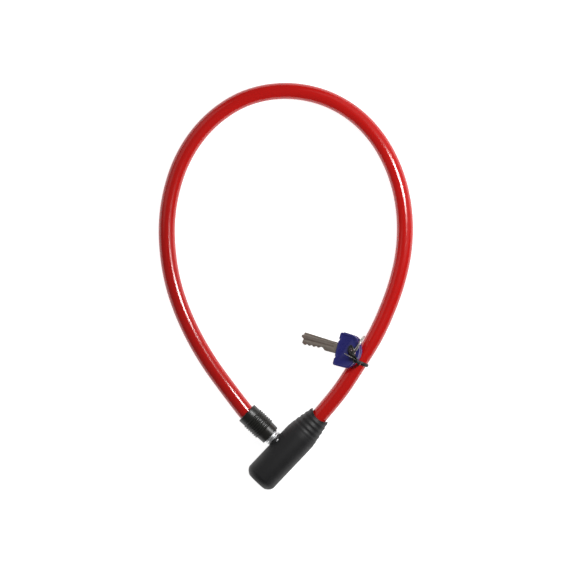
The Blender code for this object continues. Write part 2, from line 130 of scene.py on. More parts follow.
@dataclass(frozen=True)
class Finish:
    """What all the finishes share: a name, two tones and a surface.

    Attributes:
        name: The material's name.
        tone: The main sRGB colour.
        shade: The second sRGB colour of the variation.
        roughness: The middle roughness.
        metallic: 1 for a metal, 0 for anything else.
        grain_mm: The size of the surface's fine grain.
        bump: The strength of that grain.
        coat: The weight of a clear skin.
        coat_roughness: The roughness of that skin.
        patch_mm: The size of the soft patches.
        spread: How far the roughness goes either way in them.
    """

    name: str
    tone: str
    shade: str
    roughness: float
    metallic: float = 0.0
    grain_mm: float = 0.5
    bump: float = 0.1
    coat: float = 0.0
    coat_roughness: float = 0.1
    patch_mm: float = 9.0
    spread: float = 0.06

    def start(self) -> tuple[bpy.types.Material, bpy.types.NodeTree, bpy.types.Node,
                             bpy.types.NodeSocket]:
        """Make the material with its uniform values set.

        Returns:
            The material, its tree, its shader and the Object coordinates.
        """
        made = bpy.data.materials.new(self.name)
        made.use_nodes = True
        tree = made.node_tree
        shader = tree.nodes["Principled BSDF"]
        shader.inputs["Metallic"].default_value = self.metallic
        shader.inputs["Coat Weight"].default_value = self.coat
        shader.inputs["Coat Roughness"].default_value = self.coat_roughness
        place = add_node(tree, "ShaderNodeTexCoord").outputs["Object"]
        return made, tree, shader, place

    def tones(self, tree: bpy.types.NodeTree, shader: bpy.types.Node,
              place: bpy.types.NodeSocket) -> None:
        """Vary the colour and roughness in soft patches.

        Args:
            tree: The material's tree.
            shader: Its shader.
            place: The coordinates that the pattern reads.
        """
        patch = add_node(tree, "ShaderNodeTexNoise",
                         {"Scale": 1.0 / (self.patch_mm * MM), "Detail": 4.0, "Roughness": 0.6},
                         {"Vector": place})
        mix = add_node(tree, "ShaderNodeMix", {"data_type": 'RGBA', 6: linear(self.tone),
                                               7: linear(self.shade)}, {0: patch.outputs[0]})
        tree.links.new(mix.outputs[2], shader.inputs["Base Color"])
        rough = add_node(tree, "ShaderNodeMapRange",
                         {"From Min": 0.3, "From Max": 0.7,
                          "To Min": self.roughness - self.spread,
                          "To Max": self.roughness + self.spread}, {0: patch.outputs[0]})
        tree.links.new(rough.outputs[0], shader.inputs["Roughness"])

    def grain(self, tree: bpy.types.NodeTree, shader: bpy.types.Node,
              height: bpy.types.NodeSocket, depth_mm: float = 0.03) -> None:
        """Raise a height pattern as bump.

        Args:
            tree: The material's tree.
            shader: Its shader.
            height: The pattern.
            depth_mm: How deep the pattern is.
        """
        bump = add_node(tree, "ShaderNodeBump", {"Strength": self.bump, "Distance": depth_mm * MM},
                        {"Height": height})
        tree.links.new(bump.outputs[0], shader.inputs["Normal"])

    def material(self) -> bpy.types.Material:
        """Make a moulded or cast surface: soft patches under a fine grain.

        Returns:
            The material.
        """
        made, tree, shader, place = self.start()
        self.tones(tree, shader, place)
        fine = add_node(tree, "ShaderNodeTexNoise",
                        {"Scale": 1.0 / (self.grain_mm * MM), "Detail": 3.0}, {"Vector": place})
        self.grain(tree, shader, fine.outputs[0])
        return made


@dataclass(frozen=True)
class TurnedMetal(Finish):
    """Turned or drawn metal, whose fine lines run round the piece.

    Attributes:
        line_mm: The width of a tool line, drawn coarse enough to show.
        turn: The turn that lays the lines across the piece.
    """

    line_mm: float = 0.25
    turn: tuple[float, float, float] = (0.0, 0.0, 0.0)

    def material(self) -> bpy.types.Material:
        """Make a metal with fine parallel tool lines across its length.

        Returns:
            The material.
        """
        made, tree, shader, place = self.start()
        self.tones(tree, shader, place)
        turned = add_node(tree, "ShaderNodeMapping", {"Rotation": self.turn}, {"Vector": place})
        lines = add_node(tree, "ShaderNodeTexWave",
                         {"Scale": HALF_WAVE / (self.line_mm * MM), "Distortion": 1.2,
                          "Detail": 2.0, "bands_direction": 'X'}, {"Vector": turned.outputs[0]})
        self.grain(tree, shader, lines.outputs["Fac"], 0.01)
        return made


@dataclass(frozen=True)
class ExtrudedVinyl(Finish):
    """Glossy vinyl drawn over rope, whose lay shows faintly through the skin.

    Attributes:
        lay_mm: The width of a strand of the rope.
        lay_depth: How far the strands show beside the waviness.
        slant: The strands' slant in degrees.
        wave_mm: The size of the skin's waviness.
    """

    lay_mm: float = 1.44
    lay_depth: float = 0.35
    slant: float = 28.0
    wave_mm: float = 4.0

    def material(self) -> bpy.types.Material:
        """Make the sheath's skin; its UV runs round and along the cable in mm.

        Returns:
            The material.
        """
        made, tree, shader, place = self.start()
        shader.inputs["Subsurface Weight"].default_value = 0.08
        shader.inputs["Subsurface Radius"].default_value = (0.004, 0.0008, 0.0004)
        shader.inputs["Specular IOR Level"].default_value = 0.6
        self.tones(tree, shader, place)
        route = add_node(tree, "ShaderNodeUVMap", {"uv_map": "along"}).outputs[0]
        slant = add_node(tree, "ShaderNodeMapping",
                         {"Rotation": (0.0, 0.0, math.radians(self.slant))}, {"Vector": route})
        lay = add_node(tree, "ShaderNodeTexWave",
                       {"Scale": HALF_WAVE / self.lay_mm, "Distortion": 0.4, "Detail": 1.0,
                        "bands_direction": 'Y'}, {"Vector": slant.outputs[0]})
        wavy = add_node(tree, "ShaderNodeTexNoise",
                        {"Scale": 1.0 / (self.wave_mm * MM), "Detail": 2.0}, {"Vector": place})
        both = add_node(tree, "ShaderNodeMath", {"operation": 'MULTIPLY_ADD', 1: self.lay_depth},
                        {0: lay.outputs["Fac"], 2: wavy.outputs[0]})
        self.grain(tree, shader, both.outputs[0], 0.06)
        return made


@dataclass(frozen=True)
class StrandedSteel(Finish):
    """Bare steel rope: slanted bright strands, with painted shade in the dark gaps between them."""

    strand_mm: float = 1.2

    def material(self) -> bpy.types.Material:
        """Make the rope's strands as slanted bands.

        Returns:
            The material.
        """
        made, tree, shader, place = self.start()
        turned = add_node(tree, "ShaderNodeMapping", {"Rotation": (0.5, 0.3, 0.4)},
                          {"Vector": place})
        strand = add_node(tree, "ShaderNodeTexWave", {"Scale": HALF_WAVE / (self.strand_mm * MM)},
                          {"Vector": turned.outputs[0]})
        # The darker second colour fills the gaps between strands: painted shade in the crevices
        mix = add_node(tree, "ShaderNodeMix", {"data_type": 'RGBA', 6: linear(self.shade),
                                               7: linear(self.tone)}, {0: strand.outputs["Fac"]})
        tree.links.new(mix.outputs[2], shader.inputs["Base Color"])
        shader.inputs["Roughness"].default_value = self.roughness
        self.grain(tree, shader, strand.outputs["Fac"], 0.2)
        return made


class Palette:
    """Every finish of the lock, made once."""

    def __init__(self) -> None:
        """Make the materials."""
        # ABS moulded in a spark-eroded tool: dull black, a soft wide highlight
        self.cover = Finish("moulded_abs", "151516", "18181a", 0.56, grain_mm=0.35,
                            bump=0.25).material()
        # Softer vinyl moulded round the bolt: a little greyer and shinier
        self.sleeve = Finish("moulded_vinyl", "1b1b18", "22221e", 0.34, grain_mm=0.5,
                             bump=0.25).material()
        # PVC drawn over rope: deep red, wet gloss
        self.sheath = ExtrudedVinyl("extruded_vinyl", "c40e08", "bb0c06", 0.15, patch_mm=30.0,
                                    spread=0.02, bump=0.05).material()
        # Bright turned steel of the bolt
        self.steel = TurnedMetal("turned_steel", "e8e9ea", "d6d7d9", 0.5, metallic=1.0,
                                 bump=0.15, turn=(0.0, 0.0, math.radians(43.5))).material()
        # Zinc cast and nickel plated: pale, a little pitted
        self.zinc = Finish("plated_zinc", "b9babc", "8f9194", 0.34, metallic=1.0, grain_mm=0.8,
                           bump=0.3).material()
        # Brass turned from bar: warm and bright, with fine rings round it
        self.brass = TurnedMetal("turned_brass", "c9a25a", "a8813f", 0.3, metallic=1.0,
                                 bump=0.2, turn=(0.0, 0.0, math.radians(-46.5))).material()
        # Galvanised rope: grey, bright on each strand, with painted shade dark between them
        self.rope = StrandedSteel("stranded_rope", "a7a9ac", "4b4c4f", 0.4, metallic=1.0,
                                  bump=0.5).material()
        # ABS of the key heads: dark blue, shiny where thumbs rub it
        self.key_head = Finish("blue_abs", "212168", "262672", 0.3, grain_mm=0.6, bump=0.15,
                               coat=0.2, coat_roughness=0.2, patch_mm=6.0).material()
        # Nickel silver blade, stamped and milled, dulled by handling
        self.blade = TurnedMetal("milled_nickel_silver", "bcb3a8", "988f85", 0.5, metallic=1.0,
                                 bump=0.5, line_mm=0.5, patch_mm=4.0,
                                 turn=(0.0, 0.0, math.radians(-75.0))).material()
        # Nickel plated spring wire: bright, drawn lines across
        self.nickel = TurnedMetal("nickel_wire", "cfccc6", "a9a6a1", 0.34, metallic=1.0,
                                  bump=0.15).material()
        # Polythene over soft iron wire: black, waxy
        self.tie = Finish("tie_polythene", "0b0c0b", "121312", 0.5, grain_mm=0.4,
                          bump=0.3).material()


# ---------------------------------------------------------------- mesh tools


def lock_frame() -> Matrix:
    """Return the lock's own frame in metres, read from the cylinder's joint."""
    joints = {item["name"]: item for item in frame["record"]["behaviour"]["joints"]}
    turn = joints["cylinder_turn"]
    along = -Vector(turn["axis"]).normalized()
    up = Vector((0.0, 0.0, 1.0))
    matrix = Matrix((along.cross(up), along, up)).transposed().to_4x4()
    matrix.translation = Vector(turn["pos_m"])
    return matrix


def joint_frame(name: str, heading: float) -> Matrix:
    """Return a key's frame: its joint's axis as Z, its blade along X.

    Args:
        name: The joint that the key turns on.
        heading: Where the blade points, in degrees about Z.

    Returns:
        The frame in metres.
    """
    joints = {item["name"]: item for item in frame["record"]["behaviour"]["joints"]}
    up = Vector(joints[name]["axis"]).normalized()
    angle = math.radians(heading)
    level = Vector((math.cos(angle), math.sin(angle), 0.0))
    across = up.cross(level).normalized()
    matrix = Matrix((across.cross(up), across, up)).transposed().to_4x4()
    matrix.translation = Vector(joints[name]["pos_m"])
    return matrix


def arc(centre: Point, radius: float, start: float, end: float, count: int) -> list[Point]:
    """Return points on an arc.

    Args:
        centre: The arc's centre.
        radius: Its radius.
        start: The first angle in degrees.
        end: The last angle in degrees.
        count: How many steps lie between.

    Returns:
        The points, both ends among them.
    """
    points = []
    for index in range(count + 1):
        angle = math.radians(start + (end - start) * index / count)
        points.append((centre[0] + radius * math.cos(angle),
                       centre[1] + radius * math.sin(angle)))
    return points


def eased(points: list[Point], radius: float, parts: int = 3) -> list[Point]:
    """Round the corners of a closed or open outline with short curves.

    Args:
        points: The outline, whose two ends stay as they are.
        radius: How far from a corner its curve starts, at most.
        parts: How many steps a curve has.

    Returns:
        The eased outline.
    """
    out = [points[0]]
    for before, corner, after in zip(points, points[1:], points[2:]):
        here = Vector(corner)
        back = Vector(before) - here
        on = Vector(after) - here
        if back.angle(on, math.pi) > math.radians(155.0):
            out.append(corner)
            continue
        reach = min(radius, back.length * 0.45, on.length * 0.45)
        first = here + back.normalized() * reach
        last = here + on.normalized() * reach
        for index in range(parts + 1):
            share = index / parts
            mid = first.lerp(here, share).lerp(here.lerp(last, share), share)
            out.append((mid.x, mid.y))
    out.append(points[-1])
    return out


def turned(profile: list[Point], axis: Axis, steps: int,
           offset: tuple = (0, 0, 0)) -> bmesh.types.BMesh:
    """Turn a profile of (along, radius) about an axis of the lock's frame.

    Args:
        profile: The profile; it starts at radius 0 where the piece is solid.
        axis: The axis it is turned about.
        steps: How many sides the piece has.
        offset: Where the axis lies, in mm.

    Returns:
        The closed shape in mm.
    """
    shape = bmesh.new()
    about_bolt = axis is Axis.BOLT
    verts = []
    for along, radius in profile:
        verts.append(shape.verts.new((along, 0, radius) if about_bolt else (0, along, radius)))
    edges = [shape.edges.new(pair) for pair in zip(verts, verts[1:])]
    if profile[0][1] > 0.0:
        edges.append(shape.edges.new((verts[-1], verts[0])))
    direction = (1, 0, 0) if about_bolt else (0, 1, 0)
    bmesh.ops.spin(shape, geom=verts + edges, cent=(0, 0, 0), axis=direction,
                   angle=2.0 * math.pi, steps=steps, use_merge=True)
    bmesh.ops.remove_doubles(shape, verts=shape.verts, dist=1e-4)
    bmesh.ops.recalc_face_normals(shape, faces=shape.faces)
    bmesh.ops.translate(shape, vec=offset, verts=shape.verts)
    return shape


def extruded(outline: list[Point], low: float, high: float) -> bmesh.types.BMesh:
    """Extrude an outline along Z.

    Args:
        outline: The outline in X and Y, in mm.
        low: The height of its underside.
        high: The height of its top.

    Returns:
        The closed shape in mm.
    """
    shape = bmesh.new()
    face = shape.faces.new([shape.verts.new((x, y, low)) for x, y in outline])
    grown = bmesh.ops.extrude_face_region(shape, geom=[face])
    moved = [item for item in grown["geom"] if isinstance(item, bmesh.types.BMVert)]
    bmesh.ops.translate(shape, vec=(0, 0, high - low), verts=moved)
    bmesh.ops.recalc_face_normals(shape, faces=shape.faces)
    return shape


def block(low: tuple, high: tuple) -> bmesh.types.BMesh:
    """Return a plain block between two corners, used only as a cutter."""
    outline = [(low[0], low[1]), (high[0], low[1]), (high[0], high[1]), (low[0], high[1])]
    return extruded(outline, low[2], high[2])


def as_object(name: str, shape: bmesh.types.BMesh, matrix: Matrix,
              material: bpy.types.Material | None) -> bpy.types.Object:
    """Turn a shape drawn in mm to an object whose place is in its mesh.

    Args:
        name: The object's name.
        shape: The shape, which is freed.
        matrix: The frame it is drawn in, in metres.
        material: Its material, or None for a cutter.

    Returns:
        The object, at the origin.
    """
    bmesh.ops.transform(shape, matrix=matrix @ Matrix.Scale(MM, 4), verts=shape.verts)
    mesh = bpy.data.meshes.new(name)
    shape.to_mesh(mesh)
    shape.free()
    item = bpy.data.objects.new(name, mesh)
    bpy.context.scene.collection.objects.link(item)
    if material:
        mesh.materials.append(material)
    return item


def baked(item: bpy.types.Object, smooth_angle: float = 32.0) -> bpy.types.Object:
    """Apply an object's modifiers and shade it.

    Args:
        item: The object.
        smooth_angle: Edges sharper than this many degrees stay sharp.

    Returns:
        The same object with a plain mesh.
    """
    graph = bpy.context.evaluated_depsgraph_get()
    mesh = bpy.data.meshes.new_from_object(item.evaluated_get(graph))
    item.modifiers.clear()
    item.data = mesh
    mesh.shade_smooth()
    mesh.set_sharp_from_angle(angle=math.radians(smooth_angle))
    return item


def carve(item: bpy.types.Object, tools: list[tuple[bmesh.types.BMesh, str]],
          matrix: Matrix) -> None:
    """Cut shapes out of an object or join them on.

    Args:
        item: The object.
        tools: Each tool's shape in mm and DIFFERENCE or UNION.
        matrix: The frame that the tools are drawn in.
    """
    for shape, operation in tools:
        tool = as_object("tool", shape, matrix, None)
        step = item.modifiers.new("carve", 'BOOLEAN')
        step.operation = operation
        step.solver = 'EXACT'
        step.object = tool
        graph = bpy.context.evaluated_depsgraph_get()
        item.data = bpy.data.meshes.new_from_object(item.evaluated_get(graph))
        item.modifiers.clear()
        bpy.data.objects.remove(tool, do_unlink=True)


def soften(item: bpy.types.Object, width_mm: float, segments: int = 2,
           angle: float = 40.0) -> None:
    """Bevel an object's sharp edges.

    Args:
        item: The object.
        width_mm: The bevel's width.
        segments: How many steps it has.
        angle: Edges sharper than this many degrees are bevelled.
    """
    step = item.modifiers.new("soften", 'BEVEL')
    step.width = width_mm * MM
    step.segments = segments
    step.limit_method = 'ANGLE'
    step.angle_limit = math.radians(angle)
    step.use_clamp_overlap = True


def put(item: bpy.types.Object, body: Body, slot: str, *nodes: str) -> None:
    """Join a finished piece to its body, and hide what it stands for.

    Args:
        item: The piece.
        body: The body it rides on.
        slot: The record's material slot; not used.
        nodes: The CAD nodes it replaces.
    """
    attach(item, body.value)
    if nodes:
        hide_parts(*nodes)
    LOG.info("%s rides on %s, %d faces", item.name, body.value, len(item.data.polygons))


def smooth_path(points: list[Vector], step: float, closed: bool = False) -> list[Vector]:
    """Return evenly spaced points on a Catmull-Rom curve.

    Args:
        points: The route's own points.
        step: The distance between the points returned.
        closed: True where the curve runs back to its start.

    Returns:
        The points.
    """
    if closed:
        ends = [points[-1]] + points + [points[0], points[1]]
    else:
        ends = [points[0] * 2.0 - points[1]] + points + [points[-1] * 2.0 - points[-2]]
    fine = []
    for before, start, end, after in zip(ends, ends[1:], ends[2:], ends[3:]):
        for part in range(24):
            t = part / 24.0
            fine.append(0.5 * (2.0 * start + (end - before) * t
                               + (2.0 * before - 5.0 * start + 4.0 * end - after) * t * t
                               + (3.0 * start - before - 3.0 * end + after) * t ** 3))
    fine.append(points[0] if closed else points[-1])
    travelled = [0.0]
    for start, end in zip(fine, fine[1:]):
        travelled.append(travelled[-1] + (end - start).length)
    count = max(2, round(travelled[-1] / step))
    even = []
    index = 0
    for number in range(count + (0 if closed else 1)):
        goal = travelled[-1] * number / count
        while index < len(fine) - 2 and travelled[index + 1] < goal:
            index += 1
        share = (goal - travelled[index]) / max(1e-9, travelled[index + 1] - travelled[index])
        even.append(fine[index].lerp(fine[index + 1], min(1.0, share)))
    return even


def swept(path: list[Vector], section: list[Point], closed: bool = False,
          side: Vector | None = None) -> bmesh.types.BMesh:
    """Sweep a closed section along a path without twisting it.

    Args:
        path: The path's points.
        section: The section, across and up.
        closed: True where the path is a loop.
        side: Which way the section's first axis points at the start.

    Returns:
        The closed shape, with a UV map of the way round and along.
    """
    shape = bmesh.new()
    layer = shape.loops.layers.uv.new("along")
    count = len(path)
    rings = []
    length = [0.0]
    for here, after in zip(path, path[1:] + path[:1]):
        length.append(length[-1] + (after - here).length)
    for index, here in enumerate(path):
        before = path[index - 1] if (closed or index) else here
        after = path[(index + 1) % count] if (closed or index < count - 1) else here
        ahead = (after - before).normalized()
        if side is None:
            side = ahead.cross(Vector((0, 0, 1)))
            side = side if side.length > 0.1 else ahead.cross(Vector((0, 1, 0)))
        side = (side - ahead * side.dot(ahead)).normalized()
        rise = side.cross(ahead)
        rings.append([shape.verts.new(here + side * a + rise * b) for a, b in section])
    sides = len(section)
    pairs = list(range(count if closed else count - 1))
    for index in pairs:
        ring, other = rings[index], rings[(index + 1) % count]
        for spot in range(sides):
            turn = (spot + 1) % sides
            face = shape.faces.new((ring[spot], ring[turn], other[turn], other[spot]))
            marks = ((spot, index), (spot + 1, index), (spot + 1, index + 1), (spot, index + 1))
            for loop, (around, along) in zip(face.loops, marks):
                loop[layer].uv = (around * SHEATH_GIRTH / sides, length[along])
    if not closed:
        shape.faces.new(list(reversed(rings[0])))
        shape.faces.new(rings[-1])
    bmesh.ops.recalc_face_normals(shape, faces=shape.faces)
    return shape


def circle(radius: float, sides: int) -> list[Point]:
    """Return a round section."""
    return arc((0.0, 0.0), radius, 0.0, 360.0 * (sides - 1) / sides, sides - 1)


# ---------------------------------------------------------------- geometry nodes


class Repeater:
    """A Geometry Nodes tree that ends in Realize Instances and Set Material."""

    def __init__(self, name: str, inputs: dict[str, tuple[str, float]]) -> None:
        """Start the tree with its named inputs.

        Args:
            name: The tree's name.
            inputs: Each input's socket type and value.
        """
        self.name = name
        self.tree = bpy.data.node_groups.new(name, 'GeometryNodeTree')
        self.values = inputs
        face = self.tree.interface
        face.new_socket("Geometry", in_out='OUTPUT', socket_type='NodeSocketGeometry')
        for label, (kind, _) in inputs.items():
            face.new_socket(label, in_out='INPUT', socket_type=kind)
        self.given = self.tree.nodes.new("NodeGroupInput").outputs
        self.result = self.tree.nodes.new("NodeGroupOutput")

    def end(self, geometry: bpy.types.NodeSocket, material: bpy.types.Material) -> None:
        """Finish the tree.

        Args:
            geometry: The instances.
            material: What they are made of.
        """
        real = add_node(self.tree, "GeometryNodeRealizeInstances", links={0: geometry})
        smooth = add_node(self.tree, "GeometryNodeSetShadeSmooth", links={0: real.outputs[0]})
        dressed = add_node(self.tree, "GeometryNodeSetMaterial", {"Material": material},
                           {0: smooth.outputs[0]})
        self.tree.links.new(dressed.outputs[0], self.result.inputs[0])

    def build(self, matrix: Matrix) -> bpy.types.Object:
        """Run the tree once and return its plain mesh.

        Args:
            matrix: The frame that the tree is drawn in, in mm.

        Returns:
            The object, at the origin.
        """
        item = bpy.data.objects.new(self.name, bpy.data.meshes.new(self.name))
        bpy.context.scene.collection.objects.link(item)
        step = item.modifiers.new("repeat", 'NODES')
        step.node_group = self.tree
        for socket in self.tree.interface.items_tree:
            if socket.in_out == 'INPUT':
                step[socket.identifier] = self.values[socket.name][1]
        graph = bpy.context.evaluated_depsgraph_get()
        mesh = bpy.data.meshes.new_from_object(item.evaluated_get(graph))
        item.modifiers.clear()
        mesh.transform(matrix @ Matrix.Scale(MM, 4))
        item.data = mesh
        return item


def coil(name: str, turns: float, radius: float, height: float, wire: float,
         material: bpy.types.Material, copies: int = 1) -> Repeater:
    """Return a tree of round wires wound about Z.

    Args:
        name: The piece's name.
        turns: How many turns a wire has.
        radius: The radius at the wire's middle.
        height: How far the wire rises.
        wire: The wire's radius.
        material: What it is made of.
        copies: How many wires share the coil.

    Returns:
        The finished tree.
    """
    made = Repeater(name, {"Turns": ('NodeSocketFloat', turns),
                           "Radius": ('NodeSocketFloat', radius),
                           "Height": ('NodeSocketFloat', height),
                           "Wire": ('NodeSocketFloat', wire),
                           "Copies": ('NodeSocketInt', copies)})
    tree, given = made.tree, made.given
    spiral = add_node(tree, "GeometryNodeCurveSpiral", {"Resolution": 48},
                      {"Rotations": given["Turns"], "Start Radius": given["Radius"],
                       "End Radius": given["Radius"], "Height": given["Height"]})
    section = add_node(tree, "GeometryNodeCurvePrimitiveCircle", {"Resolution": 12},
                       {"Radius": given["Wire"]})
    body = add_node(tree, "GeometryNodeCurveToMesh", {"Fill Caps": True},
                    {"Curve": spiral.outputs[0], "Profile Curve": section.outputs[0]})
    line = add_node(tree, "GeometryNodeMeshLine", {"Offset": (0.0, 0.0, 0.0)},
                    {"Count": given["Copies"]})
    index = add_node(tree, "GeometryNodeInputIndex")
    share = add_node(tree, "ShaderNodeMath", {"operation": 'DIVIDE'},
                     {0: index.outputs[0], 1: given["Copies"]})
    angle = add_node(tree, "ShaderNodeMath", {"operation": 'MULTIPLY', 1: 2.0 * math.pi},
                     {0: share.outputs[0]})
    turn = add_node(tree, "ShaderNodeCombineXYZ", links={"Z": angle.outputs[0]})
    spread = add_node(tree, "GeometryNodeInstanceOnPoints",
                      links={"Points": line.outputs[0], "Instance": body.outputs[0],
                             "Rotation": turn.outputs[0]})
    made.end(spread.outputs[0], material)
    return made


def ring_row(name: str, count: int, first: float, pitch: float, radius: float, wire: float,
             material: bpy.types.Material) -> Repeater:
    """Return a tree of equal rings in a row along the bolt.

    Args:
        name: The piece's name.
        count: How many rings there are.
        first: Where the first one lies along X.
        pitch: From one ring to the next.
        radius: The radius at a ring's middle.
        wire: The radius of a ring's section.
        material: What they are made of.

    Returns:
        The finished tree.
    """
    made = Repeater(name, {"Count": ('NodeSocketInt', count), "First": ('NodeSocketFloat', first),
                           "Pitch": ('NodeSocketFloat', pitch),
                           "Radius": ('NodeSocketFloat', radius),
                           "Wire": ('NodeSocketFloat', wire)})
    tree, given = made.tree, made.given
    start = add_node(tree, "ShaderNodeCombineXYZ", links={"X": given["First"]})
    step = add_node(tree, "ShaderNodeCombineXYZ", links={"X": given["Pitch"]})
    line = add_node(tree, "GeometryNodeMeshLine",
                    links={"Count": given["Count"], "Start Location": start.outputs[0],
                           "Offset": step.outputs[0]})
    round_path = add_node(tree, "GeometryNodeCurvePrimitiveCircle", {"Resolution": 72},
                          {"Radius": given["Radius"]})
    section = add_node(tree, "GeometryNodeCurvePrimitiveCircle", {"Resolution": 12},
                       {"Radius": given["Wire"]})
    body = add_node(tree, "GeometryNodeCurveToMesh",
                    links={"Curve": round_path.outputs[0], "Profile Curve": section.outputs[0]})
    spread = add_node(tree, "GeometryNodeInstanceOnPoints",
                      {"Rotation": (0.0, math.pi / 2.0, 0.0)},
                      {"Points": line.outputs[0], "Instance": body.outputs[0]})
    made.end(spread.outputs[0], material)
    return made


# ---------------------------------------------------------------- the lock


@dataclass
class LockBody:
    """The moulded cover, the cast housing and the keyed plug's face."""

    radius: float = 11.85
    bore: float = 10.2
    opening: float = 6.6
    taper_start: float = 14.0
    mouth: float = 36.1
    drop: float = 4.1
    ribs: int = 5
    rib_rise: float = 0.18
    flat: float = 11.4
    scoop: float = 10.6
    scoop_depth: float = 3.3
    offset: float = 0.5
    boss: float = 5.65
    sides: int = 144

    def taper_at(self, along: float) -> float:
        """Return the radius of the ribbed taper at a place along the lock."""
        share = (along - self.taper_start) / (self.mouth - self.taper_start)
        first = self.taper_start + 3.5
        pitch = (self.mouth - first) / self.ribs
        wave = 0.0
        if along > first:
            wave = math.cos(2.0 * math.pi * ((along - first) / pitch - 0.5))
            wave = math.copysign(abs(wave) ** 0.6, wave) * self.rib_rise
            wave *= min(1.0, (along - first) / pitch)
        return self.radius - self.drop * share ** 1.3 + wave

    def profile(self) -> list[Point]:
        """Return the cover's closed profile."""
        outer = [(-30.5, self.opening), (-30.8, self.opening + 0.25), (-30.8, 7.2), (-30.55, 7.9),
                 (-30.1, 8.7), (-29.5, 9.5), (-28.8, 10.25), (-28.05, 10.9), (-27.3, 11.35),
                 (-26.5, 11.68), (-25.9, 11.8)]
        outer += [(-25.4, self.radius), (self.taper_start, self.radius)]
        steps = 64
        for index in range(1, steps):
            along = self.taper_start + (self.mouth - 0.5 - self.taper_start) * index / steps
            outer.append((along, self.taper_at(along)))
        lip = self.taper_at(self.mouth - 0.5)
        outer += [(self.mouth - 0.35, lip), (self.mouth - 0.1, lip - 0.12),
                  (self.mouth, lip - 0.4), (self.mouth, 6.75), (self.mouth - 0.3, 6.45),
                  (self.mouth - 0.8, 6.4)]
        return outer + [(18.0, 6.4), (16.2, 8.8), (14.8, self.bore), (-28.3, self.bore),
                        (-28.3, self.opening)]

    def cover(self, palette: Palette, place: Matrix) -> None:
        """Make the moulded cover.

        Args:
            palette: The finishes.
            place: The lock's frame.
        """
        item = as_object("lock_cover_fine", turned(self.profile(), Axis.LOCK, self.sides),
                         place, palette.cover)
        across = (0.0, self.offset, 0.0)
        boss = eased([(-12.4, 0.0), (-12.4, self.boss), (-9.0, self.boss), (-9.0, 0.0)], 0.5, 4)
        middle = self.mouth - self.scoop_depth + self.scoop
        tilt = Matrix.Rotation(math.radians(-60.5), 4, 'Y')
        hole = turned([(11.25, 0.0), (11.25, 1.2), (15.0, 1.2), (15.0, 0.0)], Axis.BOLT, 32)
        bmesh.ops.transform(hole, matrix=Matrix.Translation((0, 1.45, 0)) @ tilt
                            @ Matrix.Rotation(math.radians(-90.0), 4, 'Y'), verts=hole.verts)
        carve(item, [
            (turned(boss, Axis.BOLT, 64, across), 'UNION'),
            (turned([(-16.0, 0.0), (-16.0, 4.6), (-5.0, 4.6), (-5.0, 0.0)], Axis.BOLT, 64, across),
             'DIFFERENCE'),
            (extruded(arc((0.0, middle), self.scoop, 0, 357, 119), -14.0, 14.0), 'DIFFERENCE'),
            (block((-9, -40, -20), (9, 40, -self.flat)), 'DIFFERENCE'),
            (hole, 'DIFFERENCE'),
        ], place)
        soften(item, 0.22, 2, 50.0)
        put(baked(item, 38.0), Body.LOCK, "cover_plastic", "lock_cover")

    def pin(self, palette: Palette, place: Matrix) -> None:
        """Make the domed end of the pin that holds the housing in the cover.

        Args:
            palette: The finishes.
            place: The lock's frame.
        """
        dome = [(11.45, 0.0), (11.45, 1.12), (12.0, 1.12), (12.25, 0.95), (12.4, 0.6), (12.45, 0.0)]
        shape = turned(dome, Axis.BOLT, 32)
        turn = Matrix.Rotation(math.radians(-60.5), 4, 'Y') @ Matrix.Rotation(
            math.radians(-90.0), 4, 'Y')
        bmesh.ops.transform(shape, matrix=Matrix.Translation((0, 1.45, 0)) @ turn,
                            verts=shape.verts)
        item = as_object("drive_pin_fine", shape, place, palette.steel)
        put(baked(item, 60.0), Body.LOCK, "steel", "drive_pin")

    def face(self, palette: Palette, place: Matrix) -> None:
        """Make the housing with its nose and the plug with its keyway.

        Args:
            palette: The finishes.
            place: The lock's frame.
        """
        nose = [(-28.0, 6.3), (-28.0, 9.9), (14.5, 9.9), (14.5, 5.5), (7.3, 5.5),
                (7.3, 3.4), (-7.2, 3.4), (-7.2, 6.3)]
        housing = as_object("lock_housing_fine", turned(eased(nose, 0.25), Axis.LOCK, 96), place,
                            palette.zinc)
        across = (0.0, self.offset, 0.0)
        carve(housing, [
            (block((-1.7, -7.5, -12.0), (3.8, 6.6, 8.8)), 'DIFFERENCE'),
            (turned([(-12, 0.0), (-12, 4.3), (7.1, 4.3), (7.1, 0.0)], Axis.BOLT, 48, across),
             'DIFFERENCE'),
            (turned([(-12, 0.0), (-12, 5.95), (-5.2, 5.95), (-5.2, 0.0)], Axis.BOLT, 48, across),
             'DIFFERENCE'),
            (turned([(3, 0.0), (3, 1.7), (12, 1.7), (12, 0.0)], Axis.BOLT, 24, (0, 11.8, 0)),
             'DIFFERENCE'),
            (extruded(arc((5.9, -11.5), 1.15, 0, 345, 23), -12, 12), 'DIFFERENCE'),
        ], place)
        put(baked(housing), Body.LOCK, "zinc", "lock_housing")
        plug = [(-30.3, 0.0), (-30.3, 5.5), (-29.9, 6.0), (-12.6, 6.0), (-12.6, 4.8),
                (-10.4, 4.8), (-10.4, 6.0), (-9.4, 6.0), (-9.4, 0.0)]
        core = as_object("cylinder_plug_fine", turned(eased(plug, 0.2), Axis.LOCK, 96), place,
                         palette.brass)
        tools = [(block((-1.25, -33.0, -3.8), (1.25, -13.6, 3.8)), 'DIFFERENCE')]
        for number in range(5):
            middle = -27.0 + 3.0 * number
            tools.append((block((-3.1, middle - 0.8, -7.0), (3.0, middle + 0.8, 7.0)),
                          'DIFFERENCE'))
            tools.append((block((2.0, middle - 0.8, -3.4), (4.6, middle + 0.8, 7.0)),
                          'DIFFERENCE'))
        carve(core, tools, place)
        put(baked(core), Body.CYLINDER, "brass", "cylinder_plug")

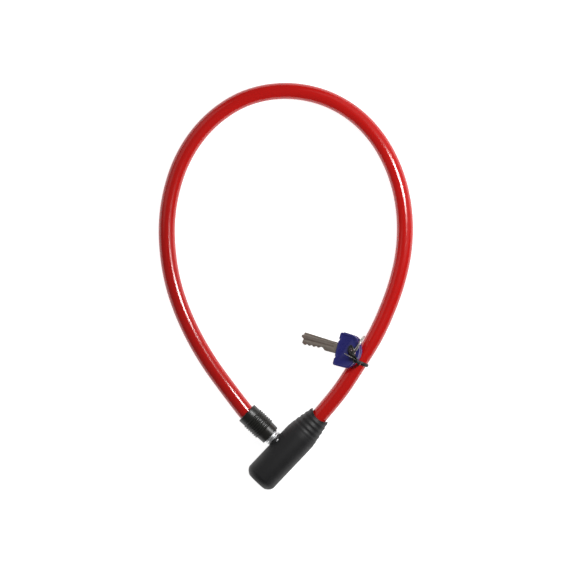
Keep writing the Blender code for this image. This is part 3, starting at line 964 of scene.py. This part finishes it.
    def build(self, palette: Palette, place: Matrix) -> None:
        """Make all of the lock's body.

        Args:
            palette: The finishes.
            place: The lock's frame.
        """
        self.cover(palette, place)
        self.pin(palette, place)
        self.face(palette, place)


@dataclass
class BoltEnd:
    """The turned bolt, its washer and the ribbed sleeve on the cable's end."""

    radius: float = 4.0
    neck: float = 2.5
    collar: float = 5.93
    sleeve_back: float = -39.9
    sleeve_front: float = -15.8
    rib_first: float = -33.6
    rib_pitch: float = 1.78
    rib_count: int = 7
    offset: float = 0.5

    def bolt(self, palette: Palette, place: Matrix) -> None:
        """Make the bolt and its loose washer.

        Args:
            palette: The finishes.
            place: The lock's frame.
        """
        across = (0.0, self.offset, 0.0)
        outline = [(6.5, 0.0), (6.5, 2.2), (4.7, self.radius), (1.65, self.radius),
                   (1.65, self.neck), (-1.65, self.neck), (-1.65, self.radius),
                   (-14.45, self.radius), (-14.45, self.collar), (-15.5, self.collar),
                   (-15.5, 5.4), (-27.3, 5.4), (-27.3, 3.1), (-17.0, 3.1), (-17.0, 0.0)]
        pin = as_object("bolt_pin_fine", turned(eased(outline, 0.28), Axis.BOLT, 96, across),
                        place, palette.steel)
        put(baked(pin), Body.BOLT, "steel", "bolt_pin")
        ring = [(-13.75, 4.3), (-13.75, self.collar - 0.25), (-13.5, self.collar),
                (-12.95, self.collar), (-12.7, self.collar - 0.25), (-12.7, 4.3)]
        washer = as_object("bolt_washer_fine", turned(eased(ring, 0.2), Axis.BOLT, 96, across),
                           place, palette.steel)
        put(baked(washer), Body.BOLT, "steel", "bolt_washer")

    def sleeve(self, palette: Palette, place: Matrix) -> None:
        """Make the sleeve and, as a row of rings, its ribs.

        Args:
            palette: The finishes.
            place: The lock's frame.
        """
        across = (0.0, self.offset, 0.0)
        outline = [(self.sleeve_back, 6.3), (self.sleeve_back, 8.05), (-34.5, 8.05),
                   (-34.3, 8.0), (-22.3, 8.0), (-21.9, 7.75), (-16.0, 7.5),
                   (self.sleeve_front, 7.2), (self.sleeve_front, 5.7), (-27.5, 5.7),
                   (-27.5, 6.3)]
        body = as_object("bolt_sleeve_fine", turned(eased(outline, 0.35, 4), Axis.BOLT, 96, across),
                         place, palette.sleeve)
        put(baked(body), Body.BOLT, "sleeve_plastic", "bolt_sleeve")
        ribs = ring_row("bolt_sleeve_ribs", self.rib_count, self.rib_first, self.rib_pitch, 8.05,
                        0.65, palette.sleeve)
        item = ribs.build(place @ Matrix.Translation((0.0, self.offset * MM, 0.0)))
        put(item, Body.BOLT, "sleeve_plastic")

    def build(self, palette: Palette, place: Matrix) -> None:
        """Make all of the bolt's end.

        Args:
            palette: The finishes.
            place: The lock's frame.
        """
        self.bolt(palette, place)
        self.sleeve(palette, place)


@dataclass
class Cable:
    """The plastic-covered cable, from the lock's mouth round to the sleeve."""

    radius: float = 6.0
    step: float = 2.0
    sides: int = 40
    start: float = 18.0
    mouth: float = 36.1
    end: float = -28.2
    offset: float = 0.5
    route: list[tuple[float, float, float]] = field(default_factory=lambda: [
        (39.7, -75.7, 10.8), (52.4, -56.5, 9.4), (64.3, -37.3, 7.7), (73.5, -17.6, 6.5),
        (80.8, 3.0, 6.05), (85.4, 24.3, 6.05), (86.4, 46.2, 6.05),
        (83.6, 67.8, 6.05), (76.8, 88.5, 6.05), (66.0, 107.4, 6.05),
        (51.1, 123.2, 6.05), (32.5, 134.6, 6.05), (11.6, 140.6, 6.05),
        (-10.2, 140.9, 6.05), (-31.2, 135.3, 6.05), (-49.7, 124.0, 6.05),
        (-64.9, 108.4, 6.05), (-76.1, 89.7, 6.05), (-83.1, 69.1, 6.05),
        (-86.4, 47.5, 6.05), (-86.0, 25.7, 6.05), (-82.6, 4.1, 6.05),
        (-76.1, -16.7, 6.5), (-67.1, -36.5, 7.7), (-56.0, -55.4, 9.2), (-43.3, -73.1, 10.7),
    ])

    def path(self, place: Matrix) -> list[Vector]:
        """Return the cable's centreline in mm.

        Args:
            place: The lock's frame.

        Returns:
            Its points, close together.
        """
        first = [place @ (Vector((0.0, along, 0.0)) * MM) / MM
                 for along in (self.start, 27.0, self.mouth)]
        last = [place @ (Vector((across, self.offset, 0.0)) * MM) / MM
                for across in (-41.0, -34.5, self.end)]
        middle = [Vector(point) for point in self.route]
        return smooth_path(first + middle + last, self.step)

    def build(self, palette: Palette, place: Matrix) -> None:
        """Make the sheath along the cable's route and hide the CAD sheath.

        Args:
            palette: The finishes.
            place: The lock's frame.
        """
        path = self.path(place)
        item = as_object("cable_sheath_fine", swept(path, circle(self.radius, self.sides)),
                         Matrix.Identity(4), palette.sheath)
        item.data.shade_smooth()
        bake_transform(item)
        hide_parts("cable_sheath")


# ---------------------------------------------------------------- keys and tie


@dataclass
class Key:
    """One key: a moulded head with a raised rim round a cut blade."""

    number: int
    heading: float
    thick: float = 3.3
    blade_thick: float = 1.8

    def head_outline(self) -> list[Point]:
        """Return the head's outline: square at the blade, rounded at the eye."""
        half = [(12.0, 5.3), (11.45, 5.7), (11.45, 7.0), (12.0, 7.4), (12.0, 10.9),
                (11.4, 12.0), (10.4, 12.2), (3.4, 12.2)]
        half += arc((3.4, 5.6), 6.6, 90, 150, 14)[1:]
        half += [(-4.1, 5.3), (-4.9, 3.6), (-5.4, 1.6)]
        return half + [(x, -y) for x, y in reversed(half)]

    def blade_outline(self) -> list[Point]:
        """Return the blade's outline: stem, cuts on one edge and a notched tip."""
        return [(5.8, -3.2), (12.6, -3.2), (12.6, -3.5), (39.8, -3.5), (40.6, -2.9),
                (40.6, -1.9), (38.6, -0.3), (38.8, 1.0), (38.9, 2.5), (36.6, 3.7), (34.9, 2.5),
                (33.2, 3.5), (31.4, 2.3), (29.6, 3.4), (27.9, 2.2), (26.2, 3.1), (24.2, 1.9),
                (22.6, 2.2), (20.6, 3.8), (12.6, 3.8), (12.6, 3.2), (5.8, 3.2)]

    def head(self, palette: Palette, place: Matrix) -> bpy.types.Object:
        """Make the head.

        Args:
            palette: The finishes.
            place: The key's frame.

        Returns:
            The finished head.
        """
        half = self.thick / 2.0
        shape = extruded(self.head_outline(), -half, half)
        caps = [face for face in shape.faces if len(face.verts) > 8]
        for cap in caps:
            bmesh.ops.inset_region(shape, faces=[cap], thickness=1.3, depth=0.0)
            bmesh.ops.inset_region(shape, faces=[cap], thickness=0.35, depth=-0.4)
        item = as_object(f"key_{self.number}_head_fine", shape, place, palette.key_head)
        rim = [(-half - 0.1, 3.0), (-half - 0.1, 4.0), (half + 0.1, 4.0), (half + 0.1, 3.0)]
        collar = turned(rim, Axis.LOCK, 48)
        eye = turned([(-4.0, 0.0), (-4.0, 3.0), (4.0, 3.0), (4.0, 0.0)], Axis.LOCK, 48)
        upright = Matrix.Rotation(math.radians(90.0), 4, 'X')
        for tool in (collar, eye):
            bmesh.ops.transform(tool, matrix=upright, verts=tool.verts)
        pocket = self.blade_thick / 2.0 + 0.15
        carve(item, [(eye, 'DIFFERENCE'), (collar, 'UNION'),
                     (block((5.5, -3.5, -pocket), (16.0, 3.5, pocket)), 'DIFFERENCE')], place)
        soften(item, 0.25, 2, 35.0)
        return baked(item)

    def blade(self, palette: Palette, place: Matrix) -> bpy.types.Object:
        """Make the blade with a milled groove on each side.

        Args:
            palette: The finishes.
            place: The key's frame.

        Returns:
            The finished blade.
        """
        half = self.blade_thick / 2.0
        item = as_object(f"key_{self.number}_blade_fine",
                         extruded(self.blade_outline(), -half, half), place, palette.blade)
        carve(item, [
            (block((14.5, -0.9, half - 0.45), (41.0, 0.2, half + 1.0)), 'DIFFERENCE'),
            (block((14.5, -2.7, half - 0.3), (41.0, -2.2, half + 1.0)), 'DIFFERENCE'),
            (block((14.5, -0.2, -half - 1.0), (41.0, 0.9, -half + 0.45)), 'DIFFERENCE'),
        ], place)
        soften(item, 0.14, 2, 35.0)
        return baked(item)

    def build(self, palette: Palette) -> None:
        """Make the key.

        Args:
            palette: The finishes.
        """
        place = joint_frame(f"key_{self.number}_swing", self.heading)
        body = Body(f"key_{self.number}")
        put(self.head(palette, place), body, "key_plastic", f"key_{self.number}_head")
        put(self.blade(palette, place), body, "key_metal", f"key_{self.number}_blade")


@dataclass
class KeyRing:
    """The split ring: two turns of wire, standing on edge beside the cable."""

    centre: tuple[float, float, float] = (52.3, -42.8, 20.0)
    heading: float = 56.2
    radius: float = 7.3
    wire: float = 0.55

    def build(self, palette: Palette) -> None:
        """Make the ring.

        Args:
            palette: The finishes.
        """
        turn = Matrix.Rotation(math.radians(self.heading), 4, 'Z') @ Matrix.Rotation(
            math.radians(90.0), 4, 'X') @ Matrix.Rotation(math.radians(75.0), 4, 'Z')
        place = Matrix.Translation(Vector(self.centre) * MM) @ turn
        place @= Matrix.Translation((0.0, 0.0, -self.wire * MM))
        item = coil("key_ring_fine", 1.93, self.radius, 2.0 * self.wire, self.wire,
                    palette.nickel).build(place)
        put(item, Body.RING, "nickel", "key_ring")


@dataclass
class TwistTie:
    """The coated wire round the cable, twisted on the keys' eyes."""

    middle: tuple[float, float, float] = (53.3, -55.6, 9.3)
    heading: float = 156.0
    hug: float = 6.55

    def band(self, palette: Palette) -> None:
        """Make the flat coated band round the cable.

        Args:
            palette: The finishes.
        """
        turn = Matrix.Rotation(math.radians(self.heading), 4, 'Z') @ Matrix.Rotation(
            math.radians(90.0), 4, 'X')
        place = Matrix.Translation(Vector(self.middle)) @ turn
        path = [place @ Vector((x, y, 0.0)) for x, y in circle(self.hug, 72)]
        section = [(a * 1.25, b * (0.4 if abs(a) > 0.5 else 0.6)) for a, b in circle(1.0, 20)]
        axis = (turn @ Vector((0.0, 0.0, 1.0))).normalized()
        item = as_object("tie_band_fine", swept(path, section, closed=True, side=axis),
                         Matrix.Identity(4), palette.tie)
        item.data.shade_smooth()
        put(item, Body.LOCK, "tie", "tie_band")

    def wire(self, name: str, points: list[tuple], thick: float, material: bpy.types.Material,
             closed: bool = False) -> None:
        """Make one bent piece of the tie.

        Args:
            name: The piece's name.
            points: The route that it takes, in mm.
            thick: Half its width.
            material: What it is made of.
            closed: True where it runs back to its start.
        """
        path = smooth_path([Vector(point) for point in points], 0.4, closed)
        section = [(a * thick, b * thick * 0.7) for a, b in circle(1.0, 16)]
        item = as_object(name, swept(path, section, closed), Matrix.Identity(4), material)
        item.data.shade_smooth()
        put(item, Body.LOCK, "tie")

    def knot(self, palette: Palette) -> None:
        """Make the loop through the eyes and the ends twisted down to the band.

        Args:
            palette: The finishes.
        """
        loop = [(52.4, -55.8, 25.5), (49.6, -53.2, 25.2), (47.0, -50.4, 24.3),
                (45.6, -46.8, 23.5), (46.5, -43.4, 23.4), (48.0, -44.7, 24.0),
                (48.2, -47.6, 24.4), (49.3, -50.6, 25.0), (50.9, -53.2, 25.4)]
        self.wire("tie_loop", loop, 0.75, palette.tie, closed=True)
        turn = [(48.3, -53.2, 24.9), (47.8, -51.2, 25.0), (49.6, -51.0, 25.9),
                (50.9, -52.8, 26.4), (51.0, -54.9, 26.2), (49.4, -55.0, 25.2)]
        self.wire("tie_turn", turn, 0.7, palette.tie, closed=True)
        lean = Vector((0.7, -0.3, -9.3)).to_track_quat('Z', 'Y').to_matrix().to_4x4()
        place = Matrix.Translation(Vector((52.6, -56.0, 25.6)) * MM) @ lean
        item = coil("tie_twist", 2.5, 0.6, 9.4, 0.55, palette.tie, copies=2).build(place)
        put(item, Body.LOCK, "tie")
        strap = [(48.9, -51.0, 25.3), (47.3, -49.0, 24.8), (46.9, -48.0, 22.5),
                 (47.5, -48.1, 18.0), (48.1, -48.7, 14.6), (50.0, -51.2, 13.4),
                 (52.4, -54.4, 15.2)]
        self.wire("tie_strap", strap, 0.95, palette.tie)
        self.wire("tie_end", [(51.4, -54.6, 25.9), (48.9, -52.8, 26.4), (46.2, -51.2, 26.0)],
                  0.6, palette.tie)
        self.wire("tie_core", [(47.6, -52.0, 26.8), (44.8, -50.4, 26.3), (42.0, -48.9, 25.4)],
                  0.3, palette.nickel)

    def build(self, palette: Palette) -> None:
        """Make all of the tie.

        Args:
            palette: The finishes.
        """
        self.band(palette)
        self.knot(palette)


# ---------------------------------------------------------------- the studio


def dress_nodes(palette: Palette) -> None:
    """Give each CAD node that stays its own detailed material.

    Args:
        palette: The finishes.
    """
    names = {
        palette.steel: ["cable_crimp", "crimp_screw", "socket_bush", "cam_driver",
                        "latch", "latch_spring", "cylinder_pin"]
        + [f"wafer_spring_{number}" for number in range(1, 6)],
        palette.zinc: ["chamber_cap"],
        palette.rope: ["rope_end_lock", "rope_end_bolt"],
        palette.brass: [f"wafer_{number}" for number in range(1, 6)],
    }
    for material, nodes in names.items():
        for node in nodes:
            for spot in bpy.data.objects[node].material_slots:
                spot.material = material


@dataclass
class Studio:
    """A pale floor, soft lights and the camera straight above."""

    reach: float = 2.0
    view_mm: float = 415.8
    sensor: float = 36.0
    centre: Point = (0.0, -0.0003)
    level: float = 0.006
    floor_mm: float = 4000.0
    floor_tone: float = 0.6
    floor_glow: float = 0.92
    sky_glow: float = 0.14

    def floor(self) -> None:
        """Make the plain pale floor."""
        shape = bmesh.new()
        bmesh.ops.create_grid(shape, x_segments=1, y_segments=1, size=self.floor_mm)
        tone = bpy.data.materials.new("studio_floor")
        tone.use_nodes = True
        shader = tone.node_tree.nodes["Principled BSDF"]
        shader.inputs["Base Color"].default_value = (*[self.floor_tone] * 3, 1.0)
        shader.inputs["Roughness"].default_value = 0.9
        shader.inputs["Emission Color"].default_value = (1.0, 1.0, 1.0, 1.0)
        shader.inputs["Emission Strength"].default_value = self.floor_glow
        as_object("studio_floor", shape, Matrix.Identity(4), tone)

    def light(self, name: str, place: tuple, size: tuple[float, float], power: float) -> None:
        """Add one area light that faces the lock.

        Args:
            name: The light's name.
            place: Where it stands, in metres.
            size: Its sides in metres, the one that points away from the lock first.
            power: Its power in watts.
        """
        lamp = bpy.data.lights.new(name, 'AREA')
        lamp.shape = 'RECTANGLE'
        lamp.size, lamp.size_y = size
        lamp.energy = power
        item = bpy.data.objects.new(name, lamp)
        item.location = place
        forward = -Vector(place).normalized()
        level = forward.cross(Vector((0.0, 0.0, 1.0))).normalized()
        radial = level.cross(forward)
        item.rotation_euler = Matrix((radial, -level, -forward)).transposed().to_euler()
        item.visible_camera = False
        bpy.context.scene.collection.objects.link(item)

    def sky(self) -> None:
        """Make the even white world."""
        world = bpy.data.worlds.new("studio_world")
        world.use_nodes = True
        shade = world.node_tree.nodes["Background"]
        shade.inputs["Color"].default_value = (1.0, 1.0, 1.0, 1.0)
        shade.inputs["Strength"].default_value = self.sky_glow
        bpy.context.scene.world = world

    def camera(self) -> None:
        """Make the camera, which sees view_mm from side to side at the cable's level."""
        data = bpy.data.cameras.new("camera")
        data.sensor_width = self.sensor
        data.lens = self.sensor * self.reach / (self.view_mm * MM)
        data.clip_end = 20.0
        item = bpy.data.objects.new("camera", data)
        item.location = (*self.centre, self.reach + self.level)
        bpy.context.scene.collection.objects.link(item)
        bpy.context.scene.camera = item

    def build(self) -> None:
        """Set up the floor, the lights, the world and the camera."""
        self.floor()
        self.light("key_box", (0.30, 0.152, 0.47), (0.22, 0.11), 2.5)
        self.light("right_box", (1.15, 0.8, 0.9), (2.0, 2.0), 4.5)
        self.light("left_box", (-1.1, 0.7, 0.9), (1.2, 1.2), 1.8)
        self.sky()
        self.camera()
        bpy.context.scene.view_settings.view_transform = 'Standard'


def main() -> None:
    """Build the cable lock's looks in order."""
    logging.basicConfig(level=logging.INFO)
    Studio().build()
    palette = Palette()
    place = lock_frame()
    Cable().build(palette, place)
    LockBody().build(palette, place)
    BoltEnd().build(palette, place)
    Key(1, 165.5).build(palette)
    Key(2, 163.0).build(palette)
    KeyRing().build(palette)
    TwistTie().build(palette)
    dress_nodes(palette)


if __name__ == "__main__":
    main()
